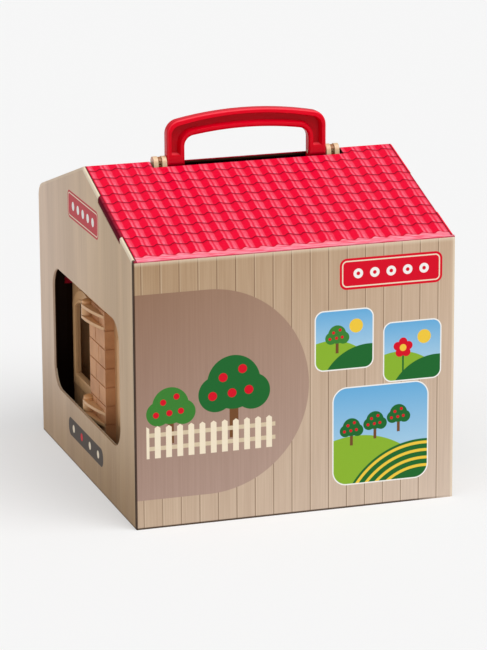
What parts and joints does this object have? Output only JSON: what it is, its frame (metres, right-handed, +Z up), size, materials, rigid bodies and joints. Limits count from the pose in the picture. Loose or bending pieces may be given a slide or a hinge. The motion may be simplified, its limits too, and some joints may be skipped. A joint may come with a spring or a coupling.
{
  "type": "toy barn in house-shaped carton",
  "caption": "Toy barn with hinged double doors and a carrying handle, packed in a house-shaped carton that lifts off.",
  "frame": {"origin": "middle of the carton's underside", "axes": "+X along the ridge to the door gable, +Y from the front wall to the back wall, +Z up"},
  "size_m": [0.24, 0.262, 0.2723],
  "materials": {
    "printed_board": "printed matt board",
    "plain_board": "plain board",
    "wall_cream": "moulded wood grain, matt",
    "trim_cream": "satin moulded plastic",
    "roof_red": "satin moulded plastic",
    "brick": "moulded brick, matt",
    "floor_yellow": "satin moulded plastic",
    "door_green": "moulded boards, satin",
    "iron_black": "satin moulded plastic",
    "handle_red": "glossy moulded plastic"
  },
  "bodies": {
    "barn": {"carton_base": "plain_board", "chimney": "brick", "chimney_cap": "trim_cream", "drop_bar_pivot": "iron_black", "far_back_gable": "wall_cream", "far_back_window_frame": "trim_cream", "far_door_arch": "trim_cream", "far_door_pintles": "iron_black", "far_dormer_frame": "roof_red", "far_floor": "floor_yellow", "far_front_gable": "wall_cream", "far_hinge_knuckles": "trim_cream", "far_long_wall": "wall_cream", "far_roof": "roof_red", "far_side_window_frames": "trim_cream", "handle_pins": "iron_black", "left_handle_bracket": "trim_cream", "left_latch_tongue": "trim_cream", "lower_hinge_pin": "trim_cream", "near_back_gable": "wall_cream", "near_back_window_frame": "trim_cream", "near_door_arch": "trim_cream", "near_door_pintles": "iron_black", "near_dormer_frame": "roof_red", "near_floor": "floor_yellow", "near_front_gable": "wall_cream", "near_hinge_plates": "trim_cream", "near_long_wall": "wall_cream", "near_roof": "roof_red", "near_side_window_frames": "trim_cream", "right_handle_bracket": "trim_cream", "right_latch_tongue": "trim_cream", "upper_hinge_pin": "trim_cream"},
    "carton": {"carton_wrap": "printed_board", "carton_window_gable": "printed_board", "carton_door_gable": "printed_board"},
    "handle": {"carry_handle": "handle_red"},
    "near_door_leaf": {"near_door": "door_green", "near_door_straps": "iron_black", "drop_bar_keeper": "iron_black"},
    "far_door_leaf": {"far_door": "door_green", "far_door_straps": "iron_black", "far_door_pull": "door_green"},
    "bar": {"drop_bar": "door_green"}
  },
  "joints": [
    {"name": "carton_lift", "type": "slide", "parent": "barn", "child": "carton", "axis": [0, 0, 1], "range_m": [0, 0.3]},
    {"name": "handle_swing", "type": "hinge", "parent": "barn", "child": "handle", "pos_m": [0.005, 0, 0.2359], "axis": [1, 0, 0], "range_deg": [-65, 65]},
    {"name": "near_door_swing", "type": "hinge", "parent": "barn", "child": "near_door_leaf", "pos_m": [0.1006, -0.0545, 0.032], "axis": [0, 0, -1], "range_deg": [0, 110]},
    {"name": "far_door_swing", "type": "hinge", "parent": "barn", "child": "far_door_leaf", "pos_m": [0.1006, 0.0545, 0.032], "axis": [0, 0, 1], "range_deg": [0, 110]},
    {"name": "drop_bar_fall", "type": "hinge", "parent": "barn", "child": "bar", "pos_m": [0.1034, -0.0715, 0.052], "axis": [1, 0, 0], "range_deg": [-116, 0]}
  ]
}
